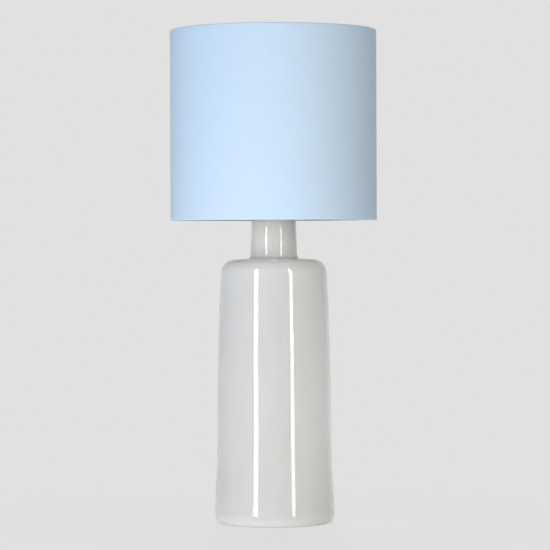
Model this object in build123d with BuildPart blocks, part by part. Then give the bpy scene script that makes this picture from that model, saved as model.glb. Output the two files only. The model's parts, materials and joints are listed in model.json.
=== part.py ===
from build123d import *
from math import cos, radians, sin
import os

# A table lamp: an opal glass bottle with a push-bar lampholder, a bulb and a cloth drum shade.
# Sizes are in millimetres. The origin is on the table under the lamp's axis, +Z is up and the
# front faces -Y. Hidden pieces are stacked upwards from the glass mouth, and the shade hangs
# from its fitter ring between the two shade rings.

# Fits
running_gap = 0.3
thread_gap = 0.05
glue_gap = 0.05

# Glass body, radii with the heights at which its side passes through them
foot_radius = 73.0
flare_radius = 71.65
flare_height = 40.0
lower_radius = 69.5
lower_height = 95.0
waist_radius = 68.9
waist_height = 160.0
upper_radius = 66.8
upper_drop = 74.0
shoulder_radius = 63.3
shoulder_height = 320.6
shoulder_fall = 1.4
neck_root_radius = 28.7
neck_mouth_radius = 26.45
neck_length = 52.4
glass_wall = 4.5
glass_floor = 9.0
heel_width = 4.0
heel_height = 13.7
hollow_round = 2.5
shoulder_round = 17.5
neck_round = 3.5
mouth_round = 1.4

# Felt pad in its recess under the foot
felt_radius = 54.0
felt_thickness = 2.0
felt_recess = 1.4

# Cord bush in the rear of the glass
cord_height = 22.0
cord_hole_radius = 5.5
bush_bore_radius = 3.6
bush_flange_radius = 8.0
bush_flange_thickness = 2.4
bush_saddle = 1.0
bush_barb = 0.8
bush_barb_length = 4.0
bush_barb_setback = 0.8
bush_round = 1.0

# Neck fixing: rubber plug, washer, nuts and hollow threaded rod
plug_length = 24.0
plug_groove = 1.2
plug_groove_width = 2.4
plug_groove_count = 4
rod_radius = 5.0
rod_bore_radius = 4.0
rod_tail = 4.0
washer_radius = 17.0
washer_thickness = 1.6
nut_flats = 14.0
nut_height = 4.0
gasket_width = 3.6
gasket_thickness = 1.5
cap_plate = 1.5
cap_lip = 7.0
cap_lip_wall = 1.2
cap_lip_gap = 0.8
cap_round = 2.2

# Lampholder, heights measured up from its lower end
holder_radius = 20.0
holder_wall = 2.0
holder_height = 29.0
holder_boss_radius = 9.0
holder_boss_height = 5.0
holder_floor = 2.5
holder_round = 8.0
wiring_radius = 12.5
ledge_height = 12.5
grub_radius = 1.5
block_height = 22.0
block_chamfer = 1.0
terminal_offset = 8.0
terminal_head_radius = 3.2
terminal_head_height = 2.4
terminal_shank_radius = 1.6
terminal_shank_length = 7.0
skirt_radius = 19.8
skirt_bore_radius = 15.2
skirt_height = 38.0
skirt_chamfer = 1.0
shell_radius = 14.2
shell_wall = 0.5
shell_flange = 2.6
shell_height = 24.0
contact_strip = 0.5
contact_width = 7.0
contact_rise = 3.0
contact_reach = 9.5
contact_ramp = 3.0
contact_bend = 1.0

# Push bar through the lampholder
bar_height = 19.0
bar_radius = 2.5
bar_travel = 8.0
bar_tip_radius = 3.4
bar_tip_length = 6.0
bar_tip_round = 1.6

# Shade rings on the lampholder's thread
ring_clearance_below = 2.0
ring_height = 8.0
ring_hub_wall = 3.4
ring_flange_radius = 27.0
ring_flange_thickness = 2.4
ring_grip_radius = 1.5
ring_grip_count = 20

# Bulb, heights measured up from its end contact
bulb_length = 107.0
bulb_radius = 30.0
bulb_glass_wall = 0.9
bulb_neck_radius = 12.3
bulb_neck_depth = 8.0
bulb_blend_angle = 35.0
tip_radius = 4.6
tip_height = 1.2
insulator_height = 3.4
insulator_foot_radius = 6.2
screw_cap_radius = 13.1
screw_cap_foot = 2.2
screw_cap_taper = 2.4
screw_cap_wall = 0.5
screw_cap_height = 22.4

# Shade
shade_radius = 125.0
shade_height = 230.0
fitter_recess = 52.5
fabric_thickness = 0.6
lining_thickness = 0.4
lining_inset = 1.6
fold_round = 0.9
fold_gap = 0.3
wire_radius = 1.3
fitter_radius = 34.0
fitter_thickness = 1.2
fitter_gap = 0.8
arm_radius = 1.5
arm_count = 3
arm_first_angle = 90.0
arm_inner_run = 7.0
arm_outer_run = 14.0
arm_bend = 8.0
arm_weld = 4.5
weld_bite = 0.4

# Heights of the stack
glass_bottom = felt_thickness - felt_recess
neck_top = shoulder_height + neck_length
plug_top = neck_top + gasket_thickness
cap_top = plug_top + cap_plate
holder_bottom = cap_top + nut_height
holder_top = holder_bottom + holder_height
ledge = holder_bottom + ledge_height
block_top = ledge + block_height
skirt_top = holder_top + skirt_height
bar_level = holder_bottom + bar_height
fitter_bottom = holder_top + ring_clearance_below + ring_height
fitter_top = fitter_bottom + fitter_thickness
plug_bottom = plug_top - plug_length
washer_bottom = plug_bottom - washer_thickness
lower_nut_bottom = washer_bottom - nut_height
bulb_tip = block_top + contact_strip + contact_rise + running_gap
screw_cap_bottom = bulb_tip + tip_height + insulator_height
screw_cap_top = screw_cap_bottom + screw_cap_height
shade_bottom = fitter_bottom - fitter_recess
shade_top = shade_bottom + shade_height

# Radii that follow from a fit
mouth_bore_radius = neck_mouth_radius - glass_wall
plug_radius = mouth_bore_radius - running_gap
rod_hole_radius = rod_radius + running_gap
rod_thread_radius = rod_radius + thread_gap
holder_bore_radius = holder_radius - holder_wall
block_radius = holder_bore_radius - running_gap
bar_hole_radius = bar_radius + running_gap
lining_outside = shade_radius - fabric_thickness - glue_gap
lining_inside = lining_outside - lining_thickness
wire_ring_radius = lining_inside - fold_gap - wire_radius
wire_inset = fabric_thickness + fold_gap + wire_radius


def half_section(*outline):
    """Half section of a turned piece from its (radius, height) corners."""
    with BuildSketch(Plane.XZ) as half:
        with BuildLine():
            Polyline(*outline, close=True)
        make_face()
    return half.sketch.faces()


def ring_edges(piece, radius, height):
    """Circular edges of one radius at one height."""
    circles = piece.edges().filter_by(GeomType.CIRCLE)
    near = 0.01
    at_height = circles.filter_by(lambda edge: abs(edge.arc_center.Z - height) < near)
    return at_height.filter_by(lambda edge: abs(edge.radius - radius) < near)


def glass_side(inset, bottom):
    """Side of the glass from its heel to its shoulder, set in from the outer face."""
    return Spline(
        (foot_radius - inset, bottom),
        (flare_radius - inset, flare_height),
        (lower_radius - inset, lower_height),
        (waist_radius - inset, waist_height),
        (upper_radius - inset, shoulder_height - upper_drop),
        (shoulder_radius - inset, shoulder_height - shoulder_fall - inset),
    )


def bottle(inset, bottom, heel=(heel_width, heel_height)):
    """Solid bottle form, set in from the outer glass face, on a heel of one width and height."""
    width, height = heel
    neck_root = (neck_root_radius - inset, shoulder_height - inset)
    with BuildPart() as form:
        with BuildSketch(Plane.XZ):
            with BuildLine():
                side = glass_side(inset, bottom + height)
                curve = EllipticalCenterArc(
                    (foot_radius - inset - width, bottom + height),
                    width,
                    height,
                    start_angle=270,
                    arc_size=90,
                )
                Polyline(
                    side @ 1,
                    neck_root,
                    (neck_mouth_radius - inset, neck_top),
                    (0, neck_top),
                    (0, bottom),
                    curve @ 0,
                )
            make_face()
        revolve(axis=Axis.Z)
        shoulder_edge = shoulder_height - shoulder_fall - inset
        fillet(ring_edges(form, shoulder_radius - inset, shoulder_edge), shoulder_round - inset)
        fillet(ring_edges(form, *neck_root), neck_round + inset)
    return form.part


def glass_radius(height):
    """Radius of the glass's outer face at a height on its side."""
    with BuildLine() as outline:
        glass_side(0, glass_bottom + heel_height)
    level = Axis((0, height, 0), (1, 0, 0))
    return outline.edge().find_intersection_points(level)[0].X


def hex_nut(bottom):
    """Hexagon nut on the hollow rod."""
    with BuildPart() as nut:
        with BuildSketch(Plane.XY.offset(bottom)):
            RegularPolygon(nut_flats / 2, 6, major_radius=False)
            Circle(rod_thread_radius, mode=Mode.SUBTRACT)
        extrude(amount=nut_height)
    return nut.part


def shade_ring(seat, upwards):
    """Threaded ring with a flange at its seat and a scalloped hub, made up or down from there."""
    way = 1 if upwards else -1
    bore = skirt_radius + running_gap
    hub = bore + ring_hub_wall
    with BuildPart() as ring:
        with BuildSketch(Plane.XY.offset(seat)):
            Circle(ring_flange_radius)
        extrude(amount=way * ring_flange_thickness)
        with BuildSketch(Plane.XY.offset(seat + way * ring_flange_thickness)):
            Circle(hub)
            with PolarLocations(hub, ring_grip_count):
                Circle(ring_grip_radius, mode=Mode.SUBTRACT)
        extrude(amount=way * (ring_height - ring_flange_thickness))
        with BuildSketch(Plane.XY.offset(seat)):
            Circle(bore)
        extrude(amount=way * ring_height, mode=Mode.SUBTRACT)
    return ring.part


def bulb_form(inset):
    """Solid pear form of the bulb's glass, set in from its outer face."""
    radius = bulb_radius - inset
    neck = bulb_neck_radius - inset
    centre = bulb_tip + bulb_length - bulb_radius
    blend = radians(bulb_blend_angle)
    blend_point = (radius * cos(blend), centre - radius * sin(blend))
    bottom = screw_cap_top - bulb_neck_depth
    with BuildPart() as form:
        with BuildSketch(Plane.XZ):
            with BuildLine():
                Polyline((0, centre + radius), (0, bottom), (neck, bottom), (neck, screw_cap_top))
                Spline(
                    (neck, screw_cap_top),
                    blend_point,
                    tangents=[(0, 1), (sin(blend), cos(blend))],
                )
                CenterArc((0, centre), radius, -bulb_blend_angle, 90 + bulb_blend_angle)
            make_face()
        revolve(axis=Axis.Z)
    return form.part


# Glass bottle with a felt recess below and a cord hole at the rear
cord_plane = Plane(origin=(0, 0, cord_height), x_dir=(1, 0, 0), z_dir=(0, 1, 0))
with BuildPart() as glass_body:
    add(bottle(0, glass_bottom))
    add(bottle(glass_wall, glass_bottom + glass_floor, (hollow_round, hollow_round)), mode=Mode.SUBTRACT)
    fillet(glass_body.faces().sort_by(Axis.Z)[-1].edges(), mouth_round)
    with BuildSketch(Plane.XY.offset(glass_bottom)):
        Circle(felt_radius + running_gap)
    extrude(amount=felt_recess, mode=Mode.SUBTRACT)
    with BuildSketch(cord_plane):
        Circle(cord_hole_radius)
    extrude(amount=2 * foot_radius, mode=Mode.SUBTRACT)

with BuildPart() as felt_pad:
    with BuildSketch():
        Circle(felt_radius)
    extrude(amount=felt_thickness)

# Rubber bush: a flange shaped to the glass outside, a stem in the hole and a barb inside
glass_outside = glass_radius(cord_height)
glass_inside = glass_outside - glass_wall
barb_face = glass_inside - bush_barb_setback
barb_end = barb_face - bush_barb_length
stem_radius = cord_hole_radius - running_gap
flange_face = glass_outside + bush_flange_thickness
with BuildPart() as cord_bush:
    with BuildSketch(cord_plane.offset(glass_outside - bush_saddle)):
        Circle(bush_flange_radius)
    extrude(amount=bush_saddle + bush_flange_thickness)
    fillet(cord_bush.faces().sort_by(Axis.Y)[-1].edges(), bush_round)
    add(bottle(-running_gap, glass_bottom), mode=Mode.SUBTRACT)
    with BuildSketch(cord_plane.offset(barb_face)):
        Circle(stem_radius)
    extrude(amount=glass_outside - barb_face + bush_saddle)
    with BuildSketch(cord_plane.offset(barb_end)):
        Circle(stem_radius)
    with BuildSketch(cord_plane.offset(barb_face)):
        Circle(cord_hole_radius + bush_barb)
    loft()
    with BuildSketch(cord_plane.offset(barb_end)):
        Circle(bush_bore_radius)
    extrude(amount=flange_face - barb_end, mode=Mode.SUBTRACT)

# Ribbed rubber plug that grips the inside of the neck
with BuildPart() as neck_plug:
    revolve(
        half_section(
            (rod_hole_radius, plug_bottom),
            (plug_radius, plug_bottom),
            (plug_radius, plug_top),
            (rod_hole_radius, plug_top),
        )
    )
    groove_pitch = plug_length / (plug_groove_count + 1)
    for groove in range(plug_groove_count):
        groove_bottom = plug_bottom + (groove + 1) * groove_pitch - plug_groove_width / 2
        with BuildSketch(Plane.XY.offset(groove_bottom)):
            Circle(plug_radius)
            Circle(plug_radius - plug_groove, mode=Mode.SUBTRACT)
        extrude(amount=plug_groove_width, mode=Mode.SUBTRACT)

with BuildPart() as plug_washer:
    with BuildSketch(Plane.XY.offset(washer_bottom)):
        Circle(washer_radius)
        Circle(rod_hole_radius, mode=Mode.SUBTRACT)
    extrude(amount=washer_thickness)

with BuildPart() as plug_nut:
    add(hex_nut(lower_nut_bottom))

# The hollow rod runs from below its lower nut into the lampholder's threaded boss
rod_bottom = lower_nut_bottom - rod_tail
rod_top = holder_bottom + holder_boss_height + holder_floor
with BuildPart() as threaded_rod:
    with BuildSketch(Plane.XY.offset(rod_bottom)):
        Circle(rod_radius)
        Circle(rod_bore_radius, mode=Mode.SUBTRACT)
    extrude(amount=rod_top - rod_bottom)

gasket_radius = neck_mouth_radius - running_gap
with BuildPart() as neck_gasket:
    with BuildSketch(Plane.XY.offset(neck_top)):
        Circle(gasket_radius)
        Circle(gasket_radius - gasket_width, mode=Mode.SUBTRACT)
    extrude(amount=gasket_thickness)

# Spun metal cap over the mouth, with a lip round the outside of the neck
lip_inside = neck_mouth_radius + cap_lip_gap
lip_outside = lip_inside + cap_lip_wall
with BuildPart() as neck_cap:
    revolve(
        half_section(
            (rod_hole_radius, plug_top),
            (lip_inside, plug_top),
            (lip_inside, plug_top - cap_lip),
            (lip_outside, plug_top - cap_lip),
            (lip_outside, cap_top),
            (rod_hole_radius, cap_top),
        )
    )
    fillet(ring_edges(neck_cap, lip_outside, cap_top), cap_round)

with BuildPart() as lock_nut:
    add(hex_nut(cap_top))

# Lower cup of the lampholder, with the bar's two holes and the grub screw's hole
boss_top = holder_bottom + holder_boss_height
wiring_floor = boss_top + holder_floor
grub_plane = Plane(
    origin=(0, 0, holder_bottom + holder_boss_height / 2),
    x_dir=(1, 0, 0),
    z_dir=(0, 1, 0),
)
bar_plane = Plane(origin=(0, 0, bar_level), x_dir=(0, 1, 0), z_dir=(1, 0, 0))
with BuildPart() as holder_cap:
    revolve(
        half_section(
            (rod_thread_radius, holder_bottom),
            (holder_boss_radius, holder_bottom),
            (holder_boss_radius, boss_top),
            (holder_radius, boss_top),
            (holder_radius, holder_top),
            (holder_bore_radius, holder_top),
            (holder_bore_radius, ledge),
            (wiring_radius, ledge),
            (wiring_radius, wiring_floor),
            (rod_thread_radius, wiring_floor),
        )
    )
    fillet(ring_edges(holder_cap, holder_radius, boss_top), holder_round)
    with BuildSketch(bar_plane):
        Circle(bar_hole_radius)
    extrude(amount=holder_radius, both=True, mode=Mode.SUBTRACT)
    with BuildSketch(grub_plane):
        Circle(grub_radius + thread_gap)
    extrude(amount=holder_boss_radius, mode=Mode.SUBTRACT)

with BuildPart() as holder_grub_screw:
    with BuildSketch(grub_plane.offset(rod_thread_radius)):
        Circle(grub_radius)
    extrude(amount=holder_boss_radius - rod_thread_radius)

# Insulating block with the bar's cross bore and two terminal holes
terminal_places = [(0, -terminal_offset), (0, terminal_offset)]
with BuildPart() as contact_block:
    with BuildSketch(Plane.XY.offset(ledge)):
        Circle(block_radius)
    extrude(amount=block_height)
    chamfer(ring_edges(contact_block, block_radius, block_top), block_chamfer)
    with BuildSketch(bar_plane):
        Circle(bar_hole_radius)
    extrude(amount=holder_radius, both=True, mode=Mode.SUBTRACT)
    with BuildSketch(Plane.XY.offset(ledge)):
        with Locations(*terminal_places):
            Circle(terminal_shank_radius + thread_gap)
    extrude(amount=terminal_shank_length, mode=Mode.SUBTRACT)

with BuildPart() as terminal_screws:
    with BuildSketch(Plane.XY.offset(ledge)):
        with Locations(*terminal_places):
            Circle(terminal_head_radius)
    extrude(amount=-terminal_head_height)
    with BuildSketch(Plane.XY.offset(ledge)):
        with Locations(*terminal_places):
            Circle(terminal_shank_radius)
    extrude(amount=terminal_shank_length)

# Sprung tongue that the bulb's end contact presses on
strip_middle = block_top + contact_strip / 2
with BuildPart() as centre_contact:
    with BuildSketch(Plane.XZ):
        with BuildLine():
            FilletPolyline(
                (-contact_reach, strip_middle),
                (-tip_radius, strip_middle),
                (contact_ramp - tip_radius, strip_middle + contact_rise),
                (tip_radius, strip_middle + contact_rise),
                radius=contact_bend,
            )
        trace(line_width=contact_strip)
    extrude(amount=contact_width / 2, both=True)

# Screw shell, with a flange turned in under it
shell_bore_radius = shell_radius - shell_wall
with BuildPart() as screw_shell:
    revolve(
        half_section(
            (shell_radius - shell_flange, block_top),
            (shell_radius, block_top),
            (shell_radius, block_top + shell_height),
            (shell_bore_radius, block_top + shell_height),
            (shell_bore_radius, block_top + shell_wall),
            (shell_radius - shell_flange, block_top + shell_wall),
        )
    )

# Upper sleeve of the lampholder, which traps the block and carries the shade rings
skirt_step = block_top + running_gap
with BuildPart() as holder_skirt:
    revolve(
        half_section(
            (holder_bore_radius, holder_top),
            (skirt_radius, holder_top),
            (skirt_radius, skirt_top),
            (skirt_bore_radius, skirt_top),
            (skirt_bore_radius, skirt_step),
            (holder_bore_radius, skirt_step),
        )
    )
    chamfer(ring_edges(holder_skirt, skirt_radius, skirt_top), skirt_chamfer)

# Push bar, lying against its stop on the right and free to travel to the right
bar_right = holder_radius + running_gap
bar_left = -(bar_right + bar_travel)
with BuildPart() as switch_bar:
    with BuildSketch(bar_plane.offset(bar_left)):
        Circle(bar_radius)
    extrude(amount=bar_right - bar_left)
    for tip_face, way in ((bar_left, -1), (bar_right, 1)):
        with BuildSketch(bar_plane.offset(tip_face)):
            Circle(bar_tip_radius)
        extrude(amount=way * bar_tip_length)
    bar_ends = switch_bar.faces().filter_by(GeomType.PLANE).sort_by(Axis.X)
    fillet(bar_ends[0].edges() + bar_ends[-1].edges(), bar_tip_round)

with BuildPart() as lower_shade_ring:
    add(shade_ring(fitter_bottom, upwards=False))

with BuildPart() as upper_shade_ring:
    add(shade_ring(fitter_top + running_gap, upwards=True))

# Bulb: pear-shaped glass, screw cap, black insulator and end contact
with BuildPart() as bulb_globe:
    add(bulb_form(0))
    add(bulb_form(bulb_glass_wall), mode=Mode.SUBTRACT)

cap_foot_radius = screw_cap_radius - screw_cap_foot
with BuildPart() as bulb_cap:
    revolve(
        half_section(
            (cap_foot_radius, screw_cap_bottom),
            (screw_cap_radius, screw_cap_bottom + screw_cap_taper),
            (screw_cap_radius, screw_cap_top),
            (screw_cap_radius - screw_cap_wall, screw_cap_top),
            (screw_cap_radius - screw_cap_wall, screw_cap_bottom + screw_cap_taper),
            (cap_foot_radius - screw_cap_wall, screw_cap_bottom),
        )
    )

with BuildPart() as bulb_insulator:
    revolve(
        half_section(
            (0, bulb_tip + tip_height),
            (insulator_foot_radius, bulb_tip + tip_height),
            (cap_foot_radius, screw_cap_bottom),
            (0, screw_cap_bottom),
        )
    )

with BuildPart() as bulb_contact:
    with BuildSketch(Plane.XY.offset(bulb_tip)):
        Circle(tip_radius)
    extrude(amount=tip_height)
    fillet(ring_edges(bulb_contact, tip_radius, bulb_tip), tip_height / 2)

# Shade cloth: a straight drum folded in round the wire ring at each end
cloth_radius = shade_radius - fabric_thickness / 2
fold_radius = wire_radius + fold_gap + fabric_thickness / 2
low_wire = shade_bottom + wire_inset
high_wire = shade_top - wire_inset
low_fold = low_wire - fold_radius
high_fold = high_wire + fold_radius
corner_radius = cloth_radius - fold_round
with BuildPart() as shade_fabric:
    with BuildSketch(Plane.XZ):
        with BuildLine():
            CenterArc((wire_ring_radius, low_wire), fold_radius, 180, 90)
            Line((wire_ring_radius, low_fold), (corner_radius, low_fold))
            CenterArc((corner_radius, low_fold + fold_round), fold_round, 270, 90)
            Line((cloth_radius, low_fold + fold_round), (cloth_radius, high_fold - fold_round))
            CenterArc((corner_radius, high_fold - fold_round), fold_round, 0, 90)
            Line((corner_radius, high_fold), (wire_ring_radius, high_fold))
            CenterArc((wire_ring_radius, high_wire), fold_radius, 90, 90)
        trace(line_width=fabric_thickness)
    revolve(axis=Axis.Z)

# Stiff lining that the cloth is glued to
with BuildPart() as shade_lining:
    with BuildSketch(Plane.XY.offset(shade_bottom + lining_inset)):
        Circle(lining_outside)
        Circle(lining_inside, mode=Mode.SUBTRACT)
    extrude(amount=shade_height - 2 * lining_inset)

with BuildPart() as top_ring:
    with Locations((0, 0, high_wire)):
        Torus(wire_ring_radius, wire_radius)

with BuildPart() as bottom_ring:
    with Locations((0, 0, low_wire)):
        Torus(wire_ring_radius, wire_radius)

with BuildPart() as fitter_ring:
    with BuildSketch(Plane.XY.offset(fitter_bottom)):
        Circle(fitter_radius)
        Circle(skirt_radius + fitter_gap, mode=Mode.SUBTRACT)
    extrude(amount=fitter_thickness)

# Bent wire arms, welded under the fitter ring and on top of the bottom ring
arm_level = fitter_bottom - arm_radius + weld_bite
arm_outside = lining_inside - fold_gap - arm_radius
arm_foot = low_wire + wire_radius - weld_bite
with BuildPart() as spider_arms:
    for arm in range(arm_count):
        angle = radians(arm_first_angle + arm * 360 / arm_count)
        outwards = (cos(angle), sin(angle), 0)
        arm_plane = Plane(origin=(0, 0, 0), x_dir=outwards, z_dir=(sin(angle), -cos(angle), 0))
        with BuildLine(arm_plane) as arm_route:
            FilletPolyline(
                (fitter_radius - arm_weld, arm_level),
                (fitter_radius + arm_inner_run, arm_level),
                (arm_outside, low_wire + arm_outer_run),
                (arm_outside, arm_foot),
                radius=arm_bend,
            )
        with BuildSketch(Plane(origin=arm_route.line @ 0, z_dir=arm_route.line % 0)):
            Circle(arm_radius)
        sweep(path=arm_route.line)
    add(fitter_ring.part, mode=Mode.SUBTRACT)
    add(bottom_ring.part, mode=Mode.SUBTRACT)

pieces = {
    "glass_body": glass_body,
    "felt_pad": felt_pad,
    "cord_bush": cord_bush,
    "neck_plug": neck_plug,
    "plug_washer": plug_washer,
    "plug_nut": plug_nut,
    "threaded_rod": threaded_rod,
    "neck_gasket": neck_gasket,
    "neck_cap": neck_cap,
    "lock_nut": lock_nut,
    "holder_cap": holder_cap,
    "holder_grub_screw": holder_grub_screw,
    "contact_block": contact_block,
    "terminal_screws": terminal_screws,
    "centre_contact": centre_contact,
    "screw_shell": screw_shell,
    "holder_skirt": holder_skirt,
    "lower_shade_ring": lower_shade_ring,
    "switch_bar": switch_bar,
    "upper_shade_ring": upper_shade_ring,
    "bulb_globe": bulb_globe,
    "bulb_cap": bulb_cap,
    "bulb_insulator": bulb_insulator,
    "bulb_contact": bulb_contact,
    "shade_fabric": shade_fabric,
    "shade_lining": shade_lining,
    "top_ring": top_ring,
    "bottom_ring": bottom_ring,
    "spider_arms": spider_arms,
    "fitter_ring": fitter_ring,
}
os.makedirs("parts", exist_ok=True)
for name, piece in pieces.items():
    piece.part.label = name
    export_step(piece.part, f"parts/{name}.step")
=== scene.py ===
import json
from math import cos, pi, radians, sin

import bpy
from mathutils import Matrix, Vector


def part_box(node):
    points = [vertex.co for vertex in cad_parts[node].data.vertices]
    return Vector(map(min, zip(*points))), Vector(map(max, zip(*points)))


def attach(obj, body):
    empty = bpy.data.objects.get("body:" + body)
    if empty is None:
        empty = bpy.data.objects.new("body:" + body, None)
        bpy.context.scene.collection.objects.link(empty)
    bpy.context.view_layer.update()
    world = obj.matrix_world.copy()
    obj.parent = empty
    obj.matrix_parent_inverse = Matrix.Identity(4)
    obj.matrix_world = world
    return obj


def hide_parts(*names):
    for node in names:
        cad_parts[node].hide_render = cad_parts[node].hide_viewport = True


# A table lamp, dressed around its CAD frame: an opal glass bottle with a pale blue drum shade.
# Lengths are in metres and angles in degrees. +Z is up, the front faces -Y and the origin is on
# the table under the lamp's axis.

# Camera, at the photograph's viewing angle
camera_place = (0.0013, -3.1, 0.35)
camera_lens = 167.2
camera_pitch = -0.92
camera_roll = -0.215

# Two tall strips that only the glossy surfaces mirror, one at each side of the camera
strip_distance = 1.6
strip_bottom = -0.04
strip_top = 1.55
strip_pivot = 0.1
left_strip = {"azimuth": -36.5, "width": 0.25, "lean": 6.0, "radiance": 10.0}
right_strip = {"azimuth": 36.0, "width": 0.195, "lean": 0.0, "radiance": 10.0}

# Soft lights for everything else, each with its angle from the camera's side, its distance and
# height, the height that it aims at, its width and height, its radiance and colour, and the
# angle that a grid on it holds it to
soft_lights = {
    "key_light": {
        "azimuth": -25.0, "distance": 2.0, "height": 0.3, "aim": 0.3, "size": (0.6, 0.6),
        "radiance": 16.0, "colour": (0.98, 1.0, 0.96),
    },
    "left_light": {
        "azimuth": -50.0, "distance": 1.6, "height": 0.78, "aim": 0.5, "size": (0.5, 0.5),
        "radiance": 6.6, "colour": (0.57, 0.71, 1.0),
    },
    "right_light": {
        "azimuth": 50.0, "distance": 1.6, "height": 0.78, "aim": 0.5, "size": (0.5, 0.5),
        "radiance": 8.5, "colour": (1.0, 0.98, 0.9),
    },
    "low_light": {
        "azimuth": -15.0, "distance": 0.6, "height": 0.05, "aim": 0.2, "size": (0.3, 0.1),
        "radiance": 7.7, "colour": (1.0, 0.89, 0.86),
    },
    "side_light": {
        "azimuth": 100.0, "distance": 0.6, "height": 0.15, "aim": 0.15, "size": (0.3, 0.1),
        "radiance": 0.9, "colour": (0.95, 1.0, 1.0), "spread": 46.0,
    },
    "back_light": {
        "azimuth": 180.0, "distance": 1.6, "height": 1.9, "aim": 0.5, "size": (1.0, 1.0),
        "radiance": 12.9, "colour": (1.0, 0.95, 0.9),
    },
}

# Pale studio surround, with a dimmer room behind the camera in the lamp's own shine
background = 0.7529
ambient = 0.2
room = 0.5
backdrop_edge = (0.62, 0.76)
floor_radius = 1.4
floor_sides = 96
floor_fade = (0.15, 0.5)
floor_paper = 0.8
floor_shadow = 0.1
floor_shade = 0.8

# Shade cloth: a strip whose end laps over its start at the rear
cloth_thickness = 0.0006
cloth_lap = 0.012
cloth_lap_step = 0.00065
cloth_corner = 0.0009
cloth_turn_in = 0.0032
cloth_thread_pitch = 0.00045
seam_azimuth = 90.0

# Felt pad, with a pinhole in its middle to close its mesh round
felt_edge = 0.0006
felt_pinhole = 0.0002

# Threads in the lampholder and on the bulb's cap
bulb_thread_pitch = 0.00362
bulb_thread_depth = 0.0011
bulb_thread_fade = 0.002
bulb_cap_collar = 0.009
bulb_cap_wall = 0.0004
bulb_cap_foot = 0.0022
bulb_cap_taper = 0.0024
shell_wall = 0.0005
shell_thread_depth = 0.0008
skirt_thread_pitch = 0.0025
skirt_thread_depth = 0.0008
skirt_bore = 0.0152
skirt_cup_bore = 0.018
skirt_cup_height = 0.0058
skirt_chamfer = 0.001

# How finely turned pieces are divided
turn_steps = 240
wall_steps = 40
corner_steps = 6
thread_steps = 96
thread_rows = 14

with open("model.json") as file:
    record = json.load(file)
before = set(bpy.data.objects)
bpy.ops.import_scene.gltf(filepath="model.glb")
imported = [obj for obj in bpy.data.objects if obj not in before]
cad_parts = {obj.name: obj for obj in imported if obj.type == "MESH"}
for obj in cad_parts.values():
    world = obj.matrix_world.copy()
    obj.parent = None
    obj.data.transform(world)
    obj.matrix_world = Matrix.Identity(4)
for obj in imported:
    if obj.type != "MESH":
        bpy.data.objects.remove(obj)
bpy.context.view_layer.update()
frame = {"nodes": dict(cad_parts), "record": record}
nodes = frame["nodes"]


def turned(name, section, angles, closed_turn=True, closed_section=True):
    """Smooth mesh of a section carried round the lamp's axis.

    section(angle) gives the (radius, height) points at one angle in degrees. Its UV map is in
    metres: round the piece at the section's first radius, and along the section.
    """
    points, uvs, faces = [], [], []
    first = section(angles[0])
    for angle in angles:
        across = 0.0
        last = first[0]
        for radius, height in section(angle):
            points.append((radius * cos(radians(angle)), radius * sin(radians(angle)), height))
            across += ((radius - last[0]) ** 2 + (height - last[1]) ** 2) ** 0.5
            last = (radius, height)
            uvs.append((radians(angle) * first[0][0], across))
    rows = len(first)
    columns = len(angles)
    for column in range(columns if closed_turn else columns - 1):
        following = (column + 1) % columns
        for row in range(rows if closed_section else rows - 1):
            above = (row + 1) % rows
            faces.append((
                column * rows + row,
                following * rows + row,
                following * rows + above,
                column * rows + above,
            ))
    mesh = bpy.data.meshes.new(name)
    mesh.from_pydata(points, [], faces)
    layer = mesh.uv_layers.new(name="metres")
    for loop in mesh.loops:
        layer.data[loop.index].uv = uvs[loop.vertex_index]
    mesh.polygons.foreach_set("use_smooth", [True] * len(mesh.polygons))
    piece = bpy.data.objects.new(name, mesh)
    bpy.context.scene.collection.objects.link(piece)
    return piece


def full_turn(steps):
    """Evenly spaced angles round a whole turn."""
    return [360 * step / steps for step in range(steps)]


def stand_for(piece, node, body, slot):
    """Puts a piece on a body in place of a CAD node, with that slot's material."""
    piece.data.materials.append(materials[slot])
    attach(piece, body)
    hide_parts(node)
    return piece


def fill(tree, sockets, terms):
    """Links each output to its socket, and sets each fixed value on its own."""
    for socket, term in zip(sockets, terms):
        if isinstance(term, bpy.types.NodeSocket):
            tree.links.new(term, socket)
        else:
            socket.default_value = term


def worked(tree, kind, operation, terms):
    """Arithmetic node over outputs and fixed values."""
    node = tree.nodes.new(kind)
    node.operation = operation
    fill(tree, node.inputs, terms)
    return node


def mapped(tree, value, given, wanted, soft=False):
    """Value carried from one range to another, with soft ends if asked."""
    node = tree.nodes.new("ShaderNodeMapRange")
    node.interpolation_type = "SMOOTHSTEP" if soft else "LINEAR"
    names = ("Value", "From Min", "From Max", "To Min", "To Max")
    fill(tree, [node.inputs[name] for name in names], (value, *given, *wanted))
    return node.outputs["Result"]


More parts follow.
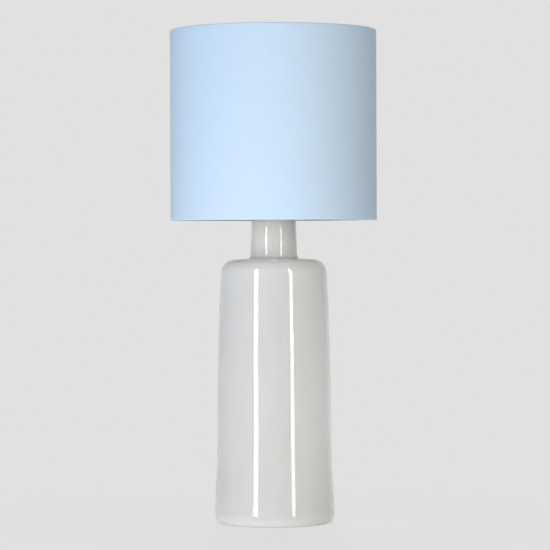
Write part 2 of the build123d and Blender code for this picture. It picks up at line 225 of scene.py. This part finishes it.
class Finish:
    """A material with one principled shader and short ways to vary it over the surface."""

    def __init__(self, slot, **constants):
        self.material = bpy.data.materials.new("lamp_" + slot)
        self.material.use_nodes = True
        self.tree = self.material.node_tree
        self.shader = self.tree.nodes["Principled BSDF"]
        self.place = self.tree.nodes.new("ShaderNodeTexCoord")
        for socket, value in constants.items():
            self.shader.inputs[socket.replace("_", " ")].default_value = value

    def link(self, source, target):
        self.tree.links.new(source, target)

    def noise(self, size, detail=3.0, stretch=(1.0, 1.0, 1.0), coordinates="Object"):
        """Noise whose lumps are about one size, in metres, drawn out by a stretch."""
        scaling = self.tree.nodes.new("ShaderNodeMapping")
        scaling.inputs["Scale"].default_value = [1.0 / (size * along) for along in stretch]
        texture = self.tree.nodes.new("ShaderNodeTexNoise")
        texture.inputs["Scale"].default_value = 1.0
        texture.inputs["Detail"].default_value = detail
        self.link(self.place.outputs[coordinates], scaling.inputs["Vector"])
        self.link(scaling.outputs["Vector"], texture.inputs["Vector"])
        return texture.outputs["Fac"]

    def ripple(self, component, pitch):
        """Even ridges across one component of the UV map, from -1 to 1."""
        split = self.tree.nodes.new("ShaderNodeSeparateXYZ")
        self.link(self.place.outputs["UV"], split.inputs["Vector"])
        phase = self.maths("MULTIPLY", split.outputs[component], 2 * pi / pitch)
        return self.maths("SINE", phase)

    def maths(self, operation, *terms):
        """Result of one arithmetic step on numbers."""
        return worked(self.tree, "ShaderNodeMath", operation, terms).outputs["Value"]

    def vectors(self, operation, *terms):
        """Result of one arithmetic step on vectors."""
        node = worked(self.tree, "ShaderNodeVectorMath", operation, terms)
        return node.outputs["Value" if operation == "DOT_PRODUCT" else "Vector"]

    def colour(self, factor, low, high, spread=(0.35, 0.65)):
        """Base colour that goes from one colour to another as a factor rises."""
        ramp = self.tree.nodes.new("ShaderNodeValToRGB")
        for stop, place, value in zip(ramp.color_ramp.elements, spread, (low, high)):
            stop.position = place
            stop.color = (*value, 1.0)
        self.link(factor, ramp.inputs["Fac"])
        self.link(ramp.outputs["Color"], self.shader.inputs["Base Color"])
        return self

    def roughness(self, factor, low, high, spread=(0.3, 0.7)):
        """Roughness that goes from one value to another as a factor rises."""
        self.link(mapped(self.tree, factor, spread, (low, high)), self.shader.inputs["Roughness"])
        return self

    def turned_normal(self, most_lean=0.1):
        """Normal of a turned surface, without the slight sideways lean that flat faces leave in it.

        A lean above the limit is kept, as in a hole that is drilled across the surface.
        """
        normal = self.place.outputs["Normal"]
        tangent = self.vectors("CROSS_PRODUCT", (0.0, 0.0, 1.0), self.place.outputs["Object"])
        sideways = self.vectors("NORMALIZE", tangent)
        lean = self.vectors("DOT_PRODUCT", normal, sideways)
        slight = self.maths("LESS_THAN", self.maths("ABSOLUTE", lean), most_lean)
        leaning = self.vectors("MULTIPLY", sideways, self.maths("MULTIPLY", lean, slight))
        in_world = self.tree.nodes.new("ShaderNodeVectorTransform")
        in_world.vector_type = "NORMAL"
        in_world.convert_from = "OBJECT"
        in_world.convert_to = "WORLD"
        self.link(self.vectors("SUBTRACT", normal, leaning), in_world.inputs["Vector"])
        return in_world.outputs["Vector"]

    def bump(self, height, rise, strength=1.0, normal=None):
        """Relief of that rise, in metres, where the height factor goes from 0 to 1."""
        relief = self.tree.nodes.new("ShaderNodeBump")
        relief.inputs["Strength"].default_value = strength
        relief.inputs["Distance"].default_value = rise
        self.link(height, relief.inputs["Height"])
        if normal:
            self.link(normal, relief.inputs["Normal"])
        self.link(relief.outputs["Normal"], self.shader.inputs["Normal"])
        return self


def opal_glass():
    """Pale grey opal glass: light scatters in it, and its fire-polished skin waves a little."""
    glass = Finish(
        "opal_glass", IOR=1.52, Subsurface_Weight=1.0, Subsurface_Scale=0.02, Subsurface_Radius=(1, 1, 1)
    )
    glass.colour(glass.noise(size=0.09), low=(0.72, 0.722, 0.715), high=(0.74, 0.743, 0.735))
    glass.roughness(glass.noise(size=0.05), low=0.02, high=0.04)
    glass.bump(glass.noise(size=0.08, detail=0.0), rise=0.000004, normal=glass.turned_normal())
    return glass.material


def shade_cloth():
    """Fine plain weave with slubbed threads in both directions."""
    cloth = Finish("blue_cloth", Sheen_Weight=0.15, Sheen_Roughness=0.5)
    along = cloth.noise(size=0.0012, detail=2.0, stretch=(14.0, 1.0, 1.0), coordinates="UV")
    across = cloth.noise(size=0.0012, detail=2.0, stretch=(1.0, 20.0, 1.0), coordinates="UV")
    slubs = cloth.maths("MULTIPLY", cloth.maths("ADD", along, across), 0.5)
    cloth.colour(slubs, low=(0.532, 0.676, 0.839), high=(0.565, 0.707, 0.870))
    cloth.roughness(slubs, low=0.85, high=0.95)
    weft = cloth.ripple("X", cloth_thread_pitch)
    warp = cloth.ripple("Y", cloth_thread_pitch)
    weave = cloth.maths("ADD", cloth.maths("MULTIPLY", weft, warp), slubs)
    cloth.bump(weave, rise=0.00004, strength=0.4)
    return cloth.material


def felt():
    """Pressed felt with a mottled, fibrous face."""
    pad = Finish("felt", Sheen_Weight=0.3, Sheen_Roughness=0.6)
    fibres = pad.noise(size=0.0009, detail=6.0, stretch=(2.0, 1.0, 1.0))
    pad.colour(fibres, low=(0.09, 0.093, 0.093), high=(0.14, 0.145, 0.145))
    pad.roughness(fibres, low=0.9, high=1.0)
    pad.bump(fibres, rise=0.0004)
    return pad.material


def rubber(slot, low, high):
    """Moulded rubber with a dull bloom."""
    mould = Finish(slot)
    mould.colour(mould.noise(size=0.004), low, high)
    mould.roughness(mould.noise(size=0.0015), low=0.5, high=0.7)
    mould.bump(mould.noise(size=0.0006), rise=0.00003)
    return mould.material


def metal(slot, low, high, rough):
    """Plated or plain metal with fine turning marks that run round the axis."""
    plate = Finish(slot, Metallic=1.0)
    plate.colour(plate.noise(size=0.006), low, high)
    marks = plate.noise(size=0.0012, stretch=(30.0, 30.0, 1.0))
    plate.roughness(marks, *rough)
    plate.bump(marks, rise=0.000006)
    return plate.material


def moulding(slot, low, high, rough, grain, rise, **constants):
    """Moulded, fired or coated surface with a faint grain."""
    skin = Finish(slot, **constants)
    skin.colour(skin.noise(size=0.012), low, high)
    skin.roughness(skin.noise(size=0.004), *rough)
    skin.bump(skin.noise(size=grain), rise)
    return skin.material


materials = {
    "opal_glass": opal_glass(),
    "felt": felt(),
    "clear_rubber": rubber("clear_rubber", low=(0.60, 0.60, 0.57), high=(0.66, 0.66, 0.63)),
    "black_rubber": rubber("black_rubber", low=(0.02, 0.02, 0.02), high=(0.03, 0.03, 0.03)),
    "zinc_steel": metal(
        "zinc_steel", low=(0.55, 0.56, 0.57), high=(0.64, 0.65, 0.66), rough=(0.3, 0.45)
    ),
    "brass": metal("brass", low=(0.66, 0.47, 0.18), high=(0.74, 0.55, 0.24), rough=(0.22, 0.4)),
    "nickel": metal("nickel", low=(0.58, 0.56, 0.52), high=(0.65, 0.63, 0.59), rough=(0.22, 0.34)),
    "white_plastic": moulding(
        "white_plastic", low=(0.77, 0.77, 0.74), high=(0.81, 0.81, 0.78),
        rough=(0.25, 0.35), grain=0.0012, rise=0.00001,
    ),
    "porcelain": moulding(
        "porcelain", low=(0.74, 0.72, 0.67), high=(0.79, 0.77, 0.72),
        rough=(0.45, 0.6), grain=0.0008, rise=0.00003,
    ),
    "bulb_glass": moulding(
        "bulb_glass", low=(0.82, 0.82, 0.80), high=(0.86, 0.86, 0.84),
        rough=(0.06, 0.1), grain=0.02, rise=0.00002,
        Subsurface_Weight=0.4, Subsurface_Scale=0.004, Subsurface_Radius=(1, 1, 1),
    ),
    "bulb_metal": metal(
        "bulb_metal", low=(0.60, 0.60, 0.60), high=(0.70, 0.70, 0.70), rough=(0.2, 0.35)
    ),
    "black_glass": moulding(
        "black_glass", low=(0.01, 0.01, 0.012), high=(0.02, 0.02, 0.022),
        rough=(0.1, 0.25), grain=0.001, rise=0.00003,
    ),
    "solder": metal("solder", low=(0.50, 0.50, 0.50), high=(0.60, 0.60, 0.60), rough=(0.3, 0.5)),
    "blue_cloth": shade_cloth(),
    "white_lining": moulding(
        "white_lining", low=(0.80, 0.80, 0.78), high=(0.84, 0.84, 0.82),
        rough=(0.5, 0.6), grain=0.0009, rise=0.00004,
    ),
    "white_wire": moulding(
        "white_wire", low=(0.79, 0.79, 0.77), high=(0.83, 0.83, 0.81),
        rough=(0.35, 0.5), grain=0.0008, rise=0.00003,
    ),
}

# Each CAD node takes its slot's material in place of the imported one
for subpart in frame["record"]["subparts"]:
    node = nodes[subpart["node"]]
    node.data.materials.clear()
    node.data.materials.append(materials[subpart["material_slot"]])

# Shade cloth, turned in over the wire ring at each end
shade_low, shade_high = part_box("shade_fabric")
cloth_radius = shade_high.x - cloth_thickness / 2
cloth_low = shade_low.z + cloth_thickness / 2
cloth_high = shade_high.z - cloth_thickness / 2
lap_turn = 360 * cloth_lap / (2 * pi * cloth_radius)


def cloth_section(angle):
    """Cloth from inside its lower fold, up the wall, to inside its upper fold."""
    past_start = angle - seam_azimuth - 360 + lap_turn
    lifted = min(max(past_start / lap_turn, 0.0), 1.0)
    radius = cloth_radius + cloth_lap_step * lifted
    corner = radius - cloth_corner
    section = [(radius - cloth_turn_in, cloth_low)]
    for step in range(corner_steps + 1):
        bend = radians(-90 + 90 * step / corner_steps)
        section.append((corner + cloth_corner * cos(bend), cloth_low + cloth_corner * (1 + sin(bend))))
    wall = cloth_high - cloth_low - 2 * cloth_corner
    for step in range(1, wall_steps):
        section.append((radius, cloth_low + cloth_corner + wall * step / wall_steps))
    for step in range(corner_steps + 1):
        bend = radians(90 * step / corner_steps)
        section.append((corner + cloth_corner * cos(bend), cloth_high - cloth_corner * (1 - sin(bend))))
    section.append((radius - cloth_turn_in, cloth_high))
    return section


cloth_angles = [seam_azimuth + (360 + lap_turn) * step / turn_steps for step in range(turn_steps + 1)]
shade = turned("shade_cloth", cloth_section, cloth_angles, closed_turn=False, closed_section=False)
thickness = shade.modifiers.new("thickness", "SOLIDIFY")
thickness.thickness = cloth_thickness
thickness.offset = 0.0
stand_for(shade, "shade_fabric", "shade", "blue_cloth")

# Felt pad with a soft cut edge
felt_low, felt_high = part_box("felt_pad")


def felt_section(angle):
    """Felt disc from the middle of its lower face, round its edge, to the middle of its upper face."""
    return [
        (felt_pinhole, felt_low.z),
        (felt_pinhole + felt_edge, felt_low.z),
        (felt_high.x - 4 * felt_edge, felt_low.z),
        (felt_high.x - 2 * felt_edge, felt_low.z),
        (felt_high.x - felt_edge / 2, felt_low.z + felt_edge / 2),
        (felt_high.x, felt_low.z + 2 * felt_edge),
        (felt_high.x - felt_edge / 2, felt_high.z),
        (felt_pinhole, felt_high.z),
    ]


pad = turned("felt_disc", felt_section, full_turn(thread_steps))
stand_for(pad, "felt_pad", "base", "felt")


def thread_wave(angle, height, pitch):
    """Round thread's depth, from 0 on its crest to 1 in its root, at one angle and height."""
    return 0.5 - 0.5 * cos(2 * pi * (height / pitch - angle / 360))


def faded(height, low, high, fade):
    """Goes from 0 at either end to 1 in between."""
    return min(max(min(height - low, high - height) / fade, 0.0), 1.0)


def rows_between(low, high, pitch):
    """Heights that divide each turn of a thread evenly."""
    count = round((high - low) / pitch * thread_rows)
    return [low + (high - low) * row / count for row in range(count + 1)]


# Bulb's cap with its rolled thread below a plain collar
cap_low, cap_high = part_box("bulb_cap")
cap_thread_low = cap_low.z + bulb_cap_taper
cap_thread_high = cap_high.z - bulb_cap_collar
cap_rows = rows_between(cap_thread_low, cap_high.z, bulb_thread_pitch)


def bulb_cap_section(angle):
    """Cap's sheet metal, up the outside and down the inside."""
    outside = [(cap_high.x - bulb_cap_foot, cap_low.z)]
    for height in cap_rows:
        depth = bulb_thread_depth * faded(height, cap_thread_low, cap_thread_high, bulb_thread_fade)
        outside.append((cap_high.x - depth * thread_wave(angle, height, bulb_thread_pitch), height))
    inside = [(radius - bulb_cap_wall, height) for radius, height in reversed(outside)]
    return outside + inside


bulb_cap = turned("bulb_screw_cap", bulb_cap_section, full_turn(thread_steps))
stand_for(bulb_cap, "bulb_cap", "bulb", "bulb_metal")

# Lampholder's screw shell, rolled to the same thread
shell_low, shell_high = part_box("screw_shell")
shell_rows = rows_between(shell_low.z, shell_high.z, bulb_thread_pitch)


def shell_section(angle):
    """Shell's sheet metal, up the outside and down the inside."""
    outside = []
    for height in shell_rows:
        depth = shell_thread_depth * faded(height, shell_low.z, shell_high.z, bulb_thread_fade)
        swell = depth * (1 - thread_wave(angle, height, bulb_thread_pitch))
        outside.append((shell_high.x + swell, height))
    inside = [(radius - shell_wall, height) for radius, height in reversed(outside)]
    return outside + inside


shell = turned("threaded_shell", shell_section, full_turn(thread_steps))
stand_for(shell, "screw_shell", "base", "brass")

# Lampholder's upper sleeve, threaded outside for the shade rings
skirt_low, skirt_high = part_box("holder_skirt")
skirt_rows = rows_between(skirt_low.z, skirt_high.z - skirt_chamfer, skirt_thread_pitch)


def skirt_section(angle):
    """Sleeve up its threaded outside, over its rim and down its bore."""
    section = []
    for height in skirt_rows:
        depth = skirt_thread_depth * faded(height, skirt_low.z, skirt_high.z, skirt_thread_pitch)
        section.append((skirt_high.x - depth * thread_wave(angle, height, skirt_thread_pitch), height))
    section += [
        (skirt_high.x - skirt_chamfer, skirt_high.z),
        (skirt_bore, skirt_high.z),
        (skirt_bore, skirt_low.z + skirt_cup_height),
        (skirt_cup_bore, skirt_low.z + skirt_cup_height),
        (skirt_cup_bore, skirt_low.z),
    ]
    return section


skirt = turned("threaded_skirt", skirt_section, full_turn(thread_steps))
stand_for(skirt, "holder_skirt", "base", "white_plastic")


def area_light(name, width, height, radiance):
    """Rectangular light that the camera doesn't see."""
    light = bpy.data.lights.new(name, "AREA")
    light.shape = "RECTANGLE"
    light.size = width
    light.size_y = height
    light.energy = radiance * pi * width * height
    lamp = bpy.data.objects.new(name, light)
    lamp.visible_camera = False
    bpy.context.scene.collection.objects.link(lamp)
    return lamp


def towards(azimuth):
    """Level direction from the lamp, at an angle from the camera's side of it."""
    return Vector((sin(radians(azimuth)), -cos(radians(azimuth)), 0))


def strip_light(name, azimuth, width, lean, radiance):
    """Tall strip that faces the lamp and shows only where it is mirrored."""
    strip = area_light(name, width, strip_top - strip_bottom, radiance)
    way = towards(azimuth)
    aim = (-way).to_track_quat("-Z", "Y").to_matrix().to_4x4()
    pivot = Matrix.Translation(way * strip_distance + Vector((0, 0, strip_pivot)))
    rise = Matrix.Translation((0, (strip_bottom + strip_top) / 2 - strip_pivot, 0))
    strip.matrix_world = pivot @ aim @ Matrix.Rotation(radians(lean), 4, "Z") @ rise
    strip.visible_diffuse = False


def soft_light(name, azimuth, distance, height, aim, size, radiance, colour, spread=180.0):
    """Soft light without a mirror image, aimed at a height on the lamp's axis."""
    soft = area_light(name, *size, radiance)
    soft.data.color = colour
    soft.data.spread = radians(spread)
    soft.location = towards(azimuth) * distance + Vector((0, 0, height))
    soft.rotation_mode = "QUATERNION"
    soft.rotation_quaternion = (Vector((0, 0, aim)) - soft.location).to_track_quat("-Z", "Y")
    soft.visible_glossy = False


strip_light("left_strip", **left_strip)
strip_light("right_strip", **right_strip)
for name, settings in soft_lights.items():
    soft_light(name, **settings)


def mixed(tree, factor, first, second):
    """Shader between two others, by a factor."""
    mix = tree.nodes.new("ShaderNodeMixShader")
    fill(tree, mix.inputs, (factor, first, second))
    return mix.outputs["Shader"]


def chosen(tree, factor, first, second):
    """Value between two others, by a factor."""
    mix = tree.nodes.new("ShaderNodeMix")
    fill(tree, [mix.inputs[name] for name in ("Factor", "A", "B")], (factor, first, second))
    return mix.outputs["Result"]


def either(tree, first, *others):
    """1 where any of the outputs is 1, and 0 elsewhere."""
    for other in others:
        first = worked(tree, "ShaderNodeMath", "MAXIMUM", (first, other)).outputs["Value"]
    return first


def seen_directly(tree, path):
    """1 for camera, mirror and see-through rays, and 0 for the rays that light things."""
    kinds = ("Is Camera Ray", "Is Glossy Ray", "Is Transmission Ray")
    return either(tree, *(path.outputs[kind] for kind in kinds))


# Surround: pale where it is seen, softer where it lights the lamp, and mirrored as a backdrop
# that ends in a dimmer room
world = bpy.data.worlds.new("studio")
bpy.context.scene.world = world
world.use_nodes = True
tree = world.node_tree
path = tree.nodes.new("ShaderNodeLightPath")
way = tree.nodes.new("ShaderNodeSeparateXYZ")
tree.links.new(tree.nodes.new("ShaderNodeTexCoord").outputs["Generated"], way.inputs["Vector"])
mirrored = mapped(tree, way.outputs["Y"], backdrop_edge, (room, background), soft=True)
plain = chosen(tree, seen_directly(tree, path), ambient, background)
strength = chosen(tree, path.outputs["Is Glossy Ray"], plain, mirrored)
tree.links.new(strength, tree.nodes["Background"].inputs["Strength"])
tree.nodes["Background"].inputs["Color"].default_value = (1, 1, 1, 1)

# Floor that glows like the surround and takes a little of the lamp's shadow. It isn't mirrored, and
# it is clear from below, where the lamp's underside shows through it
bpy.ops.mesh.primitive_circle_add(vertices=floor_sides, radius=floor_radius, fill_type="NGON")
floor = bpy.context.object
floor.name = "floor"
paper = bpy.data.materials.new("floor_paper")
paper.use_nodes = True
tree = paper.node_tree
tree.nodes.remove(tree.nodes["Principled BSDF"])
path = tree.nodes.new("ShaderNodeLightPath")
spot = tree.nodes.new("ShaderNodeTexCoord").outputs["Object"]
reach = worked(tree, "ShaderNodeVectorMath", "LENGTH", (spot,))
shadow = mapped(tree, reach.outputs["Value"], floor_fade, (floor_shadow, 0.0), soft=True)
glow = tree.nodes.new("ShaderNodeEmission")
glow.inputs["Strength"].default_value = background
matte = tree.nodes.new("ShaderNodeBsdfDiffuse")
matte.inputs["Color"].default_value = (floor_paper, floor_paper, floor_paper, 1)
clear = tree.nodes.new("ShaderNodeBsdfTransparent")
share = chosen(tree, seen_directly(tree, path), floor_shade, shadow)
lit = mixed(tree, share, glow.outputs["Emission"], matte.outputs["BSDF"])
below = tree.nodes.new("ShaderNodeNewGeometry").outputs["Backfacing"]
passed = either(tree, path.outputs["Is Glossy Ray"], below)
shown = mixed(tree, passed, lit, clear.outputs["BSDF"])
tree.links.new(shown, tree.nodes["Material Output"].inputs["Surface"])
floor.data.materials.append(paper)

# Camera
view = bpy.data.cameras.new("camera")
view.lens = camera_lens
camera = bpy.data.objects.new("camera", view)
camera.location = camera_place
camera.rotation_mode = "ZYX"
camera.rotation_euler = (radians(90 + camera_pitch), 0, radians(camera_roll))
bpy.context.scene.collection.objects.link(camera)
bpy.context.scene.camera = camera
bpy.context.scene.view_settings.view_transform = "Standard"
